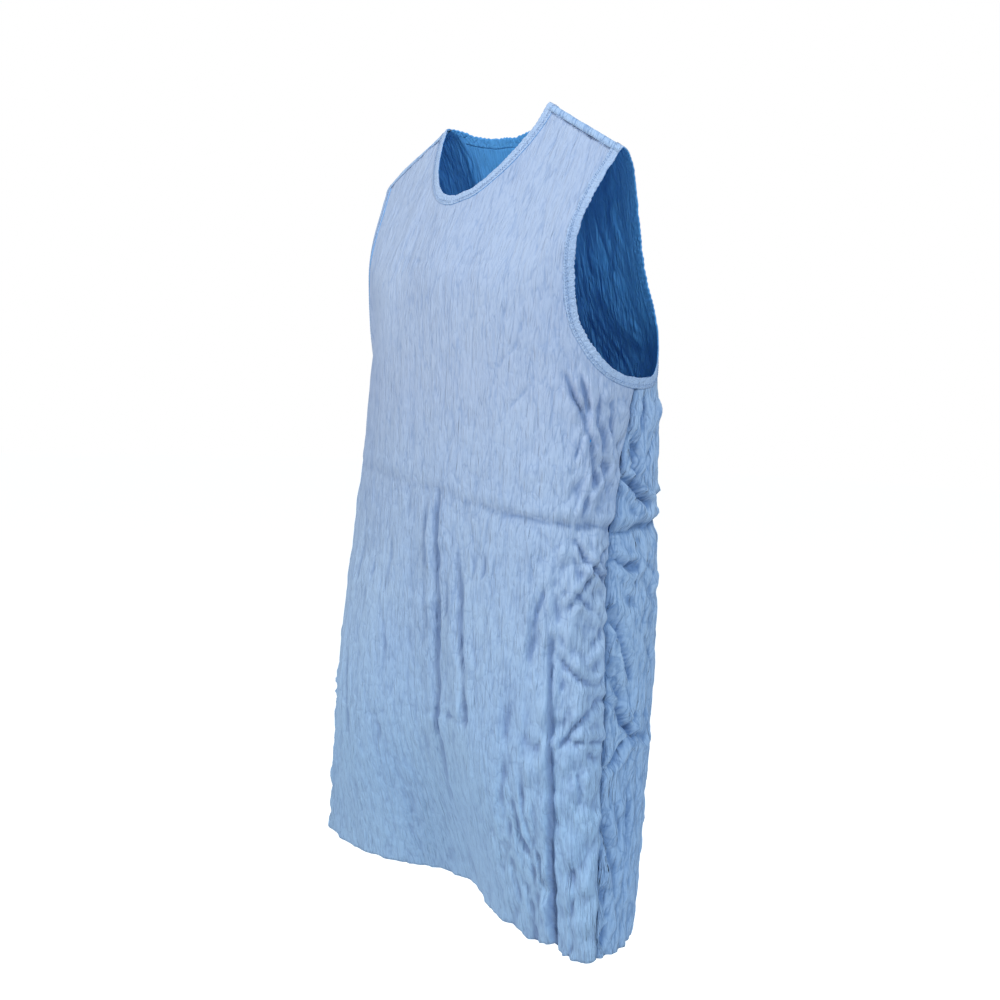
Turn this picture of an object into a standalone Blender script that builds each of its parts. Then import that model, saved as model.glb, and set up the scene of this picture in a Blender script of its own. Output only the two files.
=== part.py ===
"""Sleeveless round-neck protective apron of crinkled nonwoven cloth, hanging as if on a torso form.

Metres, +Z up, front towards -Y, the wearer's left towards +X. The origin is midway between the two
high-shoulder points, at their height. Panels are cut as flat patterns, then laid on the hanging shape:
a pattern point is (around, down), where around runs from 0 at the centre line to 1 at the side seam.
"""

import math

import bmesh
import bpy
import numpy as np
from mathutils import Vector

# Driving dimensions of the hanging shape
LENGTH = 1.0  # high-shoulder point to hem
NECK_HALF = 0.097  # centre line to high-shoulder point
SHOULDER_HALF = 0.213  # centre line to shoulder tip
SHOULDER_FALL = 0.60  # drop per metre outwards along the shoulder
NECK_RISE = 0.035  # how far the collar line stands above the shoulder line at the centre
SEAM_FORWARD = 0.008  # shoulder seam, below and in front of the ridge
RIDGE_Y = -0.003
FRONT_LEAN = 0.44  # forward run per metre down, upper chest
UNDERARM_DROP = 0.334
SHOULDER_ROUND = 0.165  # how fast the back falls away behind the ridge
BLADE_BULGE = 11.6

# Body sections, from the shoulder down to the hem: height, half width, side seam, front and back depth,
# and superellipse exponents, where 2 is round and more is squarer
STATIONS = (0.0, -0.336, -0.52, -0.75, -LENGTH)
HALF_WIDTH = (0.230, 0.220, 0.228, 0.243, 0.269)
SEAM_Y = (0.036, 0.036, 0.003, -0.017, -0.042)
FRONT_DEPTH = (0.149, 0.144, 0.111, 0.100, 0.019)
BACK_DEPTH = (0.087, 0.087, 0.137, 0.170, 0.182)
FRONT_SQUARE = (2.3, 2.3, 2.3, 2.3, 2.3)
BACK_SQUARE = (3.6, 3.6, 3.6, 3.0, 2.2)

# Soft fold down the middle of the front skirt
FOLD_TOP = -0.45
FOLD_DEPTH = 0.050
FOLD_HALF_WIDTH = 0.15

# Cloth, binding, seams and thread
CLOTH = 0.0015
GAP = 0.0003
SEAM_GAP = 0.0008  # between the two panels, which meet at a slight angle
BINDING_WIDTH = 0.012
BINDING_THICK = 0.0026
BINDING_GAP = 0.0016
STITCH_ROWS = (0.0070, 0.0090)  # distance of each row from the bound edge
THREAD = 0.0008
SEAM_WIDTH = 0.010
SEAM_THICK = 0.0016
UNDER_CLOTH = 0.0006  # a seam allowance's clearance below the panels
THREAD_CLEAR = 0.0011

# Mesh spacing
CELLS_AROUND = 12  # per half panel
CELL_DOWN = 0.05
CELL_DROP = 0.07
EDGE_STEP = 0.014

CLOTH_BLUE = (0.40, 0.53, 0.74)
BACK_BLUE = (0.33, 0.47, 0.69)
BINDING_BLUE = (0.43, 0.57, 0.78)
INSIDE_BLUE = (0.10, 0.24, 0.45)
THREAD_BLUE = (0.06, 0.12, 0.24)


def spline(points, samples):
    """Points along a Catmull-Rom curve through the given ones, samples per span."""
    pts = [np.array(p, float) for p in points]
    pts = [2 * pts[0] - pts[1]] + pts + [2 * pts[-1] - pts[-2]]
    out = []
    for a, b, c, d in zip(pts, pts[1:], pts[2:], pts[3:]):
        for k in range(samples):
            t = k / samples
            out.append(
                b + 0.5 * t * (c - a + t * (2 * a - 5 * b + 4 * c - d + t * (3 * b - 3 * c + d - a)))
            )
    return out + [pts[-2]]


def station(values, z):
    """A value between the body sections, on a smooth curve that doesn't overshoot."""
    z = min(max(z, STATIONS[-1]), STATIONS[0])
    for k in range(len(STATIONS) - 1):
        if z >= STATIONS[k + 1]:
            break
    slopes = [0.0] * len(STATIONS)
    for j in range(1, len(STATIONS) - 1):
        before = (values[j] - values[j - 1]) / (STATIONS[j] - STATIONS[j - 1])
        after = (values[j + 1] - values[j]) / (STATIONS[j + 1] - STATIONS[j])
        slopes[j] = 2 * before * after / (before + after) if before * after > 0 else 0.0
    slopes[-1] = (values[-1] - values[-2]) / (STATIONS[-1] - STATIONS[-2])
    span = STATIONS[k + 1] - STATIONS[k]
    t = (z - STATIONS[k]) / span
    return (
        values[k] * (1 + 2 * t) * (1 - t) ** 2
        + values[k + 1] * t * t * (3 - 2 * t)
        + slopes[k] * span * t * (1 - t) ** 2
        + slopes[k + 1] * span * t * t * (t - 1)
    )


def soft_max(a, b, blend):
    return 0.5 * (a + b + math.hypot(a - b, blend))


def ridge(x):
    """Height of the shoulder line, and of the collar line between the shoulders."""
    x = abs(x)
    if x < NECK_HALF:
        return NECK_RISE * (1 - (x / NECK_HALF) ** 2)
    return -SHOULDER_FALL * (x - NECK_HALF)


def across(around, z, square):
    """Sideways place of a pattern point, and how far it is towards the centre line (1) from the seam (0)."""
    angle = abs(around) * math.pi / 2
    power = 2 / station(square, z)
    x = station(HALF_WIDTH, z) * math.sin(angle) ** power
    return math.copysign(x, around), max(math.cos(angle), 0.0) ** power


def around_of(x, z, square):
    ratio = min(abs(x) / station(HALF_WIDTH, z), 1.0)
    return math.copysign(math.asin(ratio ** (station(square, z) / 2)) / (math.pi / 2), x)


def front_point(around, z):
    x, inward = across(around, z, FRONT_SQUARE)
    body = station(SEAM_Y, z) - station(FRONT_DEPTH, z) * inward
    chest = -0.004 - FRONT_LEAN * (ridge(x) - z)
    y = soft_max(body, chest, 0.012)
    depth = max((FOLD_TOP - z) / (LENGTH + FOLD_TOP), 0.0) ** 1.3
    y += FOLD_DEPTH * depth * math.cos(min(abs(x) / FOLD_HALF_WIDTH, 1.0) * math.pi / 2) ** 2
    return Vector((x, y, z))


def drop_of(x, z):
    """How far over the shoulder a back point is: 0 on the ridge, 1 at the hem."""
    top = ridge(x)
    deep = math.sqrt(max(-z, 0.0) / LENGTH)
    near = math.sqrt(max(top - z, 0.0) / (LENGTH + 4 * top))
    return deep if deep >= 0.5 else near


def back_point(around, drop):
    z = -LENGTH * drop * drop
    for _ in range(4):
        x, inward = across(around, z, BACK_SQUARE)
        z = ridge(x) * max(1 - 4 * drop * drop, 0.0) - LENGTH * drop * drop
    if drop < 0:
        return Vector((x, front_point(around_of(x, z, FRONT_SQUARE), z).y, z))
    top = front_point(around_of(x, z, FRONT_SQUARE), ridge(x)).y if abs(x) > NECK_HALF else RIDGE_Y
    body = station(SEAM_Y, z) + station(BACK_DEPTH, z) * inward
    shoulder = top + SHOULDER_ROUND * drop + BLADE_BULGE * drop**10
    return Vector((x, -soft_max(-body, -shoulder, 0.012), z))


def slopes(surface, a, b):
    step = 1e-4
    along_a = (surface(a + step, b) - surface(a - step, b)) / (2 * step)
    along_b = (surface(a, b + step) - surface(a, b - step)) / (2 * step)
    return along_a, along_b


def walk(surface, a, b, direction, distance):
    """The pattern point that lies a distance away over the cloth, starting in the given direction."""
    steps = 6
    for _ in range(steps):
        along_a, along_b = slopes(surface, a, b)
        matrix = np.array([list(along_a), list(along_b)]).T
        move = np.linalg.lstsq(matrix, np.array(direction) * distance / steps, rcond=None)[0]
        a, b = a + move[0], b + move[1]
    return a, b


def outward_normal(surface, a, b):
    along_a, along_b = slopes(surface, a, b)
    normal = along_a.cross(along_b).normalized()
    away = surface(a, b) - Vector((0, 0.02, surface(a, b).z - 0.05))
    return normal if normal.dot(away) > 0 else -normal


SEAM_NECK_X = NECK_HALF - 0.0025
UNDERARM = (station(HALF_WIDTH, -UNDERARM_DROP), -UNDERARM_DROP)


def seam_z(x):
    return ridge(x) - SEAM_FORWARD


# Cut edges of the right-hand half: (x, z) on the front, (x, drop) on the back
FRONT_NECK = (
    (0.0, -0.112),
    (0.030, -0.104),
    (0.055, -0.083),
    (0.075, -0.056),
    (0.089, -0.028),
    (SEAM_NECK_X, seam_z(SEAM_NECK_X)),
)
BACK_NECK = (
    (SEAM_NECK_X, -drop_of(SEAM_NECK_X, seam_z(SEAM_NECK_X))),
    (NECK_HALF, 0.0),
    (0.088, 0.085),
    (0.070, 0.154),
    (0.040, 0.200),
    (0.0, 0.219),
)
FRONT_ARMHOLE = (
    (SHOULDER_HALF, seam_z(SHOULDER_HALF)),
    (0.203, -0.110),
    (0.195, -0.150),
    (0.191, -0.195),
    (0.192, -0.240),
    (0.196, -0.273),
    (0.204, -0.298),
    (0.213, -0.321),
    UNDERARM,
)
BACK_ARMHOLE = (
    (UNDERARM[0], drop_of(*UNDERARM)),
    (0.214, 0.563),
    (0.206, 0.537),
    (0.200, 0.505),
    (0.197, 0.455),
    (0.196, 0.400),
    (0.200, 0.310),
    (0.206, 0.231),
    (0.212, 0.117),
    (SHOULDER_HALF + 0.002, 0.0),
    (SHOULDER_HALF, -drop_of(SHOULDER_HALF, seam_z(SHOULDER_HALF))),
)


def on_front(x, z):
    return (around_of(x, z, FRONT_SQUARE), z)


def on_back(x, drop):
    z = ridge(x) * max(1 - 4 * drop * drop, 0.0) - LENGTH * drop * drop
    return (around_of(x, z, BACK_SQUARE), drop)


def edge_curve(surface, place, points):
    """Pattern points along a cut edge, evenly spaced over the cloth."""
    fine = [place(*p) for p in spline(points, 12)]
    spots = [[*surface(a, b), a, b] for a, b in fine]
    run = np.array(spots)
    along = np.concatenate([[0], np.cumsum(np.linalg.norm(np.diff(run[:, :3], axis=0), axis=1))])
    wanted = np.linspace(0, along[-1], round(along[-1] / EDGE_STEP) + 1)
    return [(np.interp(w, along, run[:, 3]), np.interp(w, along, run[:, 4])) for w in wanted]


def bound_edge(runs, first_inward):
    """Stations along a bound edge: surface, pattern point, place, direction into the cloth, normal.

    runs lists (surface, pattern points), each starting where the last one ends.
    """
    spots = [(surface, a, b, surface(a, b)) for surface, points in runs for a, b in points]
    stations = []
    before = Vector(first_inward)
    for k, (surface, a, b, place) in enumerate(spots):
        ahead = next((s[3] for s in spots[k + 1 :] if (s[3] - place).length > 1e-3), place)
        behind = next((s[3] for s in reversed(spots[:k]) if (s[3] - place).length > 1e-3), place)
        normal = outward_normal(surface, a, b)
        inward = normal.cross((ahead - behind).normalized()).normalized()
        if inward.dot(before) < 0:
            inward = -inward
        before = inward
        stations.append([surface, (a, b), place, inward, normal])
    return stations


def with_inner_places(stations, corners):
    """Stations as (outer place, inner place, normals at both, surface, inner pattern point).

    corners gives, for a station on a seam, its inner pattern point on that seam.
    """
    out = []
    for k, (surface, pattern, place, inward, normal) in enumerate(stations):
        inner = corners[k](surface) if k in corners else walk(surface, *pattern, inward, BINDING_WIDTH)
        inner_normal = outward_normal(surface, *inner)
        out.append((place, surface(*inner), normal, inner_normal, surface, inner))
    return out


def shoulder_spot(x):
    """Gives the pattern point on the shoulder seam, for either panel."""
    z = seam_z(x)
    return lambda surface: on_front(x, z) if surface is front_point else on_back(x, -drop_of(x, z))


def side_spot(z):
    """Gives the pattern point on the side seam, for either panel."""
    return lambda surface: (1.0, z) if surface is front_point else (1.0, drop_of(0.0, z))


def neck_half():
    front = edge_curve(front_point, on_front, FRONT_NECK)
    back = edge_curve(back_point, on_back, BACK_NECK)
    stations = bound_edge([(front_point, front), (back_point, back)], (0, 0, -1))
    for centre in (stations[0], stations[-1]):
        centre[3] = Vector((0, centre[3].y, centre[3].z)).normalized()
    seam = shoulder_spot(SEAM_NECK_X + 0.86 * BINDING_WIDTH)
    return with_inner_places(stations, {len(front) - 1: seam, len(front): seam})


def armhole_loop():
    front = edge_curve(front_point, on_front, FRONT_ARMHOLE)
    back = edge_curve(back_point, on_back, BACK_ARMHOLE)
    stations = bound_edge([(front_point, front), (back_point, back)], (-1, 0, 0))
    tip = shoulder_spot(SHOULDER_HALF - 0.86 * BINDING_WIDTH)
    side = side_spot(-UNDERARM_DROP - BINDING_WIDTH)
    last = len(stations) - 1
    return with_inner_places(stations, {0: tip, len(front) - 1: side, len(front): side, last: tip})


def joined(stations):
    """(outer, inner, two normals) along the edge: where two panels meet, two stations become one."""
    line = []
    for outer, inner, *normals in (station[:4] for station in stations):
        if line and (line[-1][0] - outer).length < 1e-3:
            normals = [(old + new).normalized() for old, new in zip(line[-1][2:], normals)]
            line[-1] = (*line[-1][:2], *normals)
        else:
            line.append((outer, inner, *normals))
    return line


def mirrored(vector):
    return Vector((-vector.x, vector.y, vector.z))


def mirrored_line(line):
    return [tuple(mirrored(v) for v in row) for row in line]


def material(name, colour, roughness):
    made = bpy.data.materials.new(name)
    made.use_nodes = True
    shader = made.node_tree.nodes["Principled BSDF"]
    shader.inputs["Base Color"].default_value = (*colour, 1)
    shader.inputs["Roughness"].default_value = roughness
    shader.inputs["Metallic"].default_value = 0.0
    return made


def add_object(name, data, finish):
    made = bpy.data.objects.new(name, data)
    made.data.materials.append(finish)
    bpy.context.collection.objects.link(made)
    made.parent = bpy.data.objects["apron"]
    return made


def panel(name, surface, outline, cuts_around, cuts_down, shift, finish):
    """A cloth panel: its flat pattern is cut into cells, laid on the hanging shape, then thickened."""
    mesh = bmesh.new()
    mesh.faces.new([mesh.verts.new((a, b, 0)) for a, b in outline])
    for cuts, normal in ((cuts_around, (1, 0, 0)), (cuts_down, (0, 1, 0))):
        for cut in cuts:
            geometry = mesh.verts[:] + mesh.edges[:] + mesh.faces[:]
            place = Vector(normal) * cut
            bmesh.ops.bisect_plane(mesh, geom=geometry, dist=1e-5, plane_co=place, plane_no=normal)
    bmesh.ops.triangulate(mesh, faces=mesh.faces[:])
    for vert in mesh.verts:
        vert.co = surface(vert.co.x, vert.co.y) + Vector(shift)
    bmesh.ops.recalc_face_normals(mesh, faces=mesh.faces[:])
    data = bpy.data.meshes.new(name)
    mesh.to_mesh(data)
    mesh.free()
    data.shade_smooth()
    made = add_object(name, data, finish)
    thicken = made.modifiers.new("thickness", "SOLIDIFY")
    thicken.thickness = CLOTH
    thicken.offset = 0
    return made


def strip(name, line, thickness, closed, finish):
    """A solid strip through (outer, inner, outer normal, inner normal) stations, as a ring if closed."""
    mesh = bmesh.new()
    rings = []
    for outer, inner, at_outer, at_inner in line:
        a, b = at_outer * thickness / 2, at_inner * thickness / 2
        rings.append([mesh.verts.new(p) for p in (outer + a, outer - a, inner - b, inner + b)])
    pairs = list(zip(rings, rings[1:]))
    if closed:
        pairs.append((rings[-1], rings[0]))
    else:
        mesh.faces.new(rings[0])
        mesh.faces.new(rings[-1])
    for ring, after in pairs:
        for k in range(4):
            mesh.faces.new((ring[k], ring[(k + 1) % 4], after[(k + 1) % 4], after[k]))
    bmesh.ops.recalc_face_normals(mesh, faces=mesh.faces[:])
    data = bpy.data.meshes.new(name)
    mesh.to_mesh(data)
    mesh.free()
    return add_object(name, data, finish)


def thread(name, points, closed, finish):
    """A row of stitching, as one run of thread."""
    data = bpy.data.curves.new(name, "CURVE")
    data.dimensions = "3D"
    data.bevel_depth = THREAD / 2
    data.bevel_resolution = 0
    data.use_fill_caps = not closed
    run = data.splines.new("POLY")
    run.points.add(len(points) - 1)
    for slot, point in zip(run.points, points):
        slot.co = (*point, 1)
    run.use_cyclic_u = closed
    return add_object(name, data, finish)


def row_on(line, distance):
    """Thread points over a binding, a distance in from its folded edge."""
    lift = BINDING_THICK / 2 + THREAD_CLEAR + THREAD / 2
    part = distance / BINDING_WIDTH
    return [
        outer.lerp(inner, part) + at_outer.lerp(at_inner, part).normalized() * lift
        for outer, inner, at_outer, at_inner in line
    ]


def binding_line(line):
    """The binding's stations, which end just short of the panels."""
    return [
        (outer, inner + (outer - inner).normalized() * BINDING_GAP, *normals)
        for outer, inner, *normals in line
    ]


def rows_down():
    """Heights of the panel rows, from just below the underarm binding to the hem."""
    top = -UNDERARM_DROP - BINDING_WIDTH
    rows = [-k * CELL_DOWN for k in range(round(LENGTH / CELL_DOWN) + 1)]
    return [z for z in rows if z < top - CELL_DOWN / 4]


def half_outline(surface, neck, armhole):
    """Pattern outline of a half panel, from the neck's centre round to the hem's centre."""
    neck_part = [row[5] for row in neck if row[4] is surface]
    arm_part = [row[5] for row in armhole if row[4] is surface]
    if surface is back_point:
        neck_part.reverse()
        arm_part.reverse()
    seam_x = np.linspace(neck_half_end(), SHOULDER_HALF - 0.86 * BINDING_WIDTH, 7)[1:-1]
    shoulder = [shoulder_spot(x)(surface) for x in seam_x]
    side = [side_spot(z)(surface) for z in rows_down()]
    hem = [(k / CELLS_AROUND, side[-1][1]) for k in range(CELLS_AROUND - 1, -1, -1)]
    return neck_part + shoulder + arm_part + side + hem


def neck_half_end():
    return SEAM_NECK_X + 0.86 * BINDING_WIDTH


def whole_outline(half):
    """The half outline and its mirror image, as one loop with no point twice."""
    half = [(max(a, 0.0), b) for a, b in half]
    other = [(-a, b) for a, b in reversed(half) if a > 1e-6]
    return half + other


def build_panels(neck, armhole, cloth, back_cloth):
    around = [k / CELLS_AROUND for k in range(1 - CELLS_AROUND, CELLS_AROUND)]
    heights = [-k * CELL_DOWN for k in range(1, round(LENGTH / CELL_DOWN))]
    drops = [k * CELL_DROP for k in range(0, 8)] + [drop_of(0.0, z) for z in heights if z < -0.32]
    half_gap = SEAM_GAP / 2
    outline = whole_outline(half_outline(front_point, neck, armhole))
    panel("front_panel", front_point, outline, around, heights, (0, -half_gap, -half_gap), cloth)
    outline = whole_outline(half_outline(back_point, neck, armhole))
    panel("back_panel", back_point, outline, around, drops, (0, half_gap, half_gap), back_cloth)


def build_neck(neck, binding, stitch):
    half = joined(neck)
    line = half + mirrored_line(half[-2:0:-1])
    strip("neck_binding", binding_line(line), BINDING_THICK, True, binding)
    for label, distance in zip(("inner", "outer"), STITCH_ROWS):
        thread(f"neck_stitching_{label}", row_on(line, distance), True, stitch)


def build_armhole(side, armhole, binding, stitch):
    """The binding's two ends meet at the underarm, where the side seam closes them."""
    line = joined(armhole)
    low = min(range(len(line)), key=lambda k: line[k][0].z)
    line = line[low:] + line[1 : low + 1]
    shift = Vector((0, BINDING_GAP / 2, 0))
    line[0] = (line[0][0] + shift, line[0][1] + shift, *line[0][2:])
    line[-1] = (line[-1][0] - shift, line[-1][1] - shift, *line[-1][2:])
    if side == "right":
        line = mirrored_line(line)
    strip(f"{side}_armhole_binding", binding_line(line), BINDING_THICK, False, binding)
    for label, distance in zip(("inner", "outer"), STITCH_ROWS):
        thread(f"{side}_armhole_stitching_{label}", row_on(line, distance), False, stitch)


def build_shoulder_seam(side, inside, stitch):
    """The turned-in seam allowance below the shoulder seam, and the topstitching over it."""
    below = CLOTH / 2 + UNDER_CLOTH + SEAM_THICK / 2
    above = CLOTH / 2 + 2 * THREAD_CLEAR + THREAD / 2
    allowance = []
    topstitch = []
    for x in np.linspace(neck_half_end() + 0.003, SHOULDER_HALF - BINDING_WIDTH - 0.002, 6):
        pattern = on_front(x, seam_z(x))
        place = front_point(*pattern)
        normal = outward_normal(front_point, *pattern)
        up = Vector((0, -normal.z, normal.y))
        up = up.normalized() if up.z > 0 else -up.normalized()
        middle = place - normal * below
        allowance.append((middle + up * SEAM_WIDTH / 2, middle - up * SEAM_WIDTH / 2, normal, normal))
        topstitch.append(place - up * 0.0025 + normal * above)
    if side == "right":
        allowance = mirrored_line(allowance)
        topstitch = [mirrored(p) for p in topstitch]
    strip(f"{side}_shoulder_seam_allowance", allowance, SEAM_THICK, False, inside)
    thread(f"{side}_shoulder_topstitching", topstitch, False, stitch)


def build_side_seam(side, inside, stitch):
    """The turned-in allowance along the side seam stands inwards, with the seam's thread through it."""
    inset = CLOTH / 2 + UNDER_CLOTH
    allowance = []
    row = []
    top = -UNDERARM_DROP - BINDING_WIDTH - 0.003
    for z in [top] + rows_down()[:-1] + [-LENGTH + 0.001]:
        seam = Vector((station(HALF_WIDTH, z) - inset, station(SEAM_Y, z), z))
        across_seam = Vector((0, 1, 0))
        allowance.append((seam, seam - Vector((SEAM_WIDTH, 0, 0)), across_seam, across_seam))
        row.append(seam + Vector((-0.3 * SEAM_WIDTH, SEAM_THICK / 2 + GAP + THREAD / 2, 0)))
    if side == "right":
        allowance = mirrored_line(allowance)
        row = [mirrored(p) for p in row]
    strip(f"{side}_side_seam_allowance", allowance, SEAM_THICK, False, inside)
    thread(f"{side}_side_seam_stitching", row, False, stitch)


def main():
    for old in list(bpy.data.objects):
        bpy.data.objects.remove(old)
    root = bpy.data.objects.new("apron", None)
    bpy.context.collection.objects.link(root)
    cloth = material("crepe_front", CLOTH_BLUE, 0.85)
    back_cloth = material("crepe_back", BACK_BLUE, 0.85)
    binding = material("binding", BINDING_BLUE, 0.80)
    inside = material("crepe_inside", INSIDE_BLUE, 0.85)
    stitch = material("thread", THREAD_BLUE, 0.70)
    neck = neck_half()
    armhole = armhole_loop()
    build_panels(neck, armhole, cloth, back_cloth)
    build_neck(neck, binding, stitch)
    for side in ("left", "right"):
        build_armhole(side, armhole, binding, stitch)
        build_shoulder_seam(side, inside, stitch)
        build_side_seam(side, inside, stitch)


main()
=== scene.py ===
import math

import bpy
import numpy as np
from mathutils import Matrix, Vector


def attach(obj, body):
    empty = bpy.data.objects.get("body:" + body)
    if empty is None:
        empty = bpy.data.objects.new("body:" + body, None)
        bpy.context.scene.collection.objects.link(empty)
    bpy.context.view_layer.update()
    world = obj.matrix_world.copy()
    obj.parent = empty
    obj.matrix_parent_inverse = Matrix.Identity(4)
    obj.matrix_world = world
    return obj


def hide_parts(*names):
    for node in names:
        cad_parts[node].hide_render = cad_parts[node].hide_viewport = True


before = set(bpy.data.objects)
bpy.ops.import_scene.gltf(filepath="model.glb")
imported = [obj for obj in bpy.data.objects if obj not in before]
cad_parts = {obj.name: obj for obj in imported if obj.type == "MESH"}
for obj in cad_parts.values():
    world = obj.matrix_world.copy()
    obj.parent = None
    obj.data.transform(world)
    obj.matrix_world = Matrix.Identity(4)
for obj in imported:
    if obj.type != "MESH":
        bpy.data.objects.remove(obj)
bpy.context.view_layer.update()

# ---------------------------------------------------------------- hanging shape, as the CAD part has it
LENGTH = 1.0
NECK_HALF = 0.097
SHOULDER_HALF = 0.213
SHOULDER_FALL = 0.60
NECK_RISE = 0.035
SEAM_FORWARD = 0.008
RIDGE_Y = -0.003
FRONT_LEAN = 0.44
UNDERARM_DROP = 0.334
SHOULDER_ROUND = 0.165
BLADE_BULGE = 11.6
STATIONS = np.array((0.0, -0.336, -0.52, -0.75, -LENGTH))
HALF_WIDTH = (0.230, 0.220, 0.228, 0.243, 0.269)
SEAM_Y = (0.036, 0.036, 0.003, -0.017, -0.042)
FRONT_DEPTH = (0.149, 0.144, 0.111, 0.100, 0.019)
BACK_DEPTH = (0.087, 0.087, 0.137, 0.170, 0.182)
FRONT_SQUARE = (2.3, 2.3, 2.3, 2.3, 2.3)
BACK_SQUARE = (3.6, 3.6, 3.6, 3.0, 2.2)
FOLD_TOP = -0.45
FOLD_DEPTH = 0.050
FOLD_HALF_WIDTH = 0.15
BINDING_WIDTH = 0.012

CLOTH = 0.0005
SEAM_LAP = 0.0012
FRONT_COLUMNS, FRONT_ROWS = 217, 217
BACK_COLUMNS, BACK_ROWS = 217, 217
EDGE_SPACING = 0.0016
NEAR_EDGE = 0.040
TURNED_EDGE_THICK = 0.0010
STITCH_THICK = 0.0006
STITCH_PITCH = 0.0036
# The crepe pattern is laid out as if the cloth hung straight down everywhere, as it does at this height
LEVEL_SECTION = -0.50


def station(values, z):
    z = np.clip(z, STATIONS[-1], STATIONS[0])
    values = np.array(values, float)
    secants = np.diff(values) / np.diff(STATIONS)
    slopes = np.zeros(len(STATIONS))
    for j in range(1, len(STATIONS) - 1):
        before, after = secants[j - 1], secants[j]
        slopes[j] = 2 * before * after / (before + after) if before * after > 0 else 0.0
    slopes[-1] = secants[-1]
    k = np.clip(np.searchsorted(-STATIONS, -z, side="right") - 1, 0, len(STATIONS) - 2)
    span = STATIONS[k + 1] - STATIONS[k]
    t = (z - STATIONS[k]) / span
    return (
        values[k] * (1 + 2 * t) * (1 - t) ** 2
        + values[k + 1] * t * t * (3 - 2 * t)
        + slopes[k] * span * t * (1 - t) ** 2
        + slopes[k + 1] * span * t * t * (t - 1)
    )


def ridge(x):
    x = np.abs(x)
    return np.where(x < NECK_HALF, NECK_RISE * (1 - (x / NECK_HALF) ** 2), -SHOULDER_FALL * (x - NECK_HALF))


def across(around, z, square):
    angle = np.abs(around) * math.pi / 2
    power = 2 / station(square, z)
    x = station(HALF_WIDTH, z) * np.sin(angle) ** power
    return np.copysign(x, around), np.maximum(np.cos(angle), 0) ** power


def around_of(x, z, square):
    ratio = np.minimum(np.abs(x) / station(HALF_WIDTH, z), 1.0)
    return np.copysign(np.arcsin(ratio ** (station(square, z) / 2)) / (math.pi / 2), x)


def soft_max(a, b, blend):
    return 0.5 * (a + b + np.hypot(a - b, blend))


def front_point(around, z):
    x, inward = across(around, z, FRONT_SQUARE)
    body = station(SEAM_Y, z) - station(FRONT_DEPTH, z) * inward
    chest = -0.004 - FRONT_LEAN * (ridge(x) - z)
    y = soft_max(body, chest, 0.012)
    depth = np.maximum((FOLD_TOP - z) / (LENGTH + FOLD_TOP), 0.0) ** 1.3
    y = y + FOLD_DEPTH * depth * np.cos(np.minimum(np.abs(x) / FOLD_HALF_WIDTH, 1) * math.pi / 2) ** 2
    return np.stack([x, y, z + 0 * x], axis=-1)


def drop_of(x, z):
    top = ridge(x)
    deep = np.sqrt(np.maximum(-z, 0.0) / LENGTH)
    near = np.sqrt(np.maximum(top - z, 0.0) / (LENGTH + 4 * top))
    return np.where(deep >= 0.5, deep, near)


def back_point(around, drop):
    z = -LENGTH * drop * drop
    for _ in range(4):
        x, inward = across(around, z, BACK_SQUARE)
        z = ridge(x) * np.maximum(1 - 4 * drop * drop, 0.0) - LENGTH * drop * drop
    forward = front_point(around_of(x, z, FRONT_SQUARE), z)[..., 1]
    top = front_point(around_of(x, z, FRONT_SQUARE), ridge(x))[..., 1]
    top = np.where(np.abs(x) > NECK_HALF, top, RIDGE_Y)
    body = station(SEAM_Y, z) + station(BACK_DEPTH, z) * inward
    shoulder = top + SHOULDER_ROUND * drop + BLADE_BULGE * np.abs(drop) ** 10
    return np.stack([x, np.where(drop < 0, forward, -soft_max(-body, -shoulder, 0.012)), z], axis=-1)


def seam_z(x):
    return ridge(x) - SEAM_FORWARD


def spline(points, samples=24):
    pts = np.array(points, float)
    pts = np.vstack([2 * pts[0] - pts[1], pts, 2 * pts[-1] - pts[-2]])
    t = (np.arange(samples) / samples)[:, None]
    out = []
    for a, b, c, d in zip(pts, pts[1:], pts[2:], pts[3:]):
        out.append(b + 0.5 * t * (c - a + t * (2 * a - 5 * b + 4 * c - d + t * (3 * b - 3 * c + d - a))))
    return np.vstack(out + [pts[-2:-1]])


SEAM_NECK_X = NECK_HALF - 0.0025
UNDERARM = (float(station(HALF_WIDTH, -UNDERARM_DROP)), -UNDERARM_DROP)
FRONT_NECK = (
    (0.0, -0.112),
    (0.030, -0.104),
    (0.055, -0.083),
    (0.075, -0.056),
    (0.089, -0.028),
    (SEAM_NECK_X, float(seam_z(SEAM_NECK_X))),
)
BACK_NECK = (
    (SEAM_NECK_X, -float(drop_of(SEAM_NECK_X, seam_z(SEAM_NECK_X)))),
    (NECK_HALF, 0.0),
    (0.088, 0.085),
    (0.070, 0.154),
    (0.040, 0.200),
    (0.0, 0.219),
)
FRONT_ARMHOLE = (
    (SHOULDER_HALF, float(seam_z(SHOULDER_HALF))),
    (0.203, -0.110),
    (0.195, -0.150),
    (0.191, -0.195),
    (0.192, -0.240),
    (0.196, -0.273),
    (0.204, -0.298),
    (0.213, -0.321),
    UNDERARM,
)
BACK_ARMHOLE = (
    (UNDERARM[0], float(drop_of(*UNDERARM))),
    (0.214, 0.563),
    (0.206, 0.537),
    (0.200, 0.505),
    (0.197, 0.455),
    (0.196, 0.400),
    (0.200, 0.310),
    (0.206, 0.231),
    (0.212, 0.117),
    (SHOULDER_HALF + 0.002, 0.0),
    (SHOULDER_HALF, -float(drop_of(SHOULDER_HALF, seam_z(SHOULDER_HALF)))),
)


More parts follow.
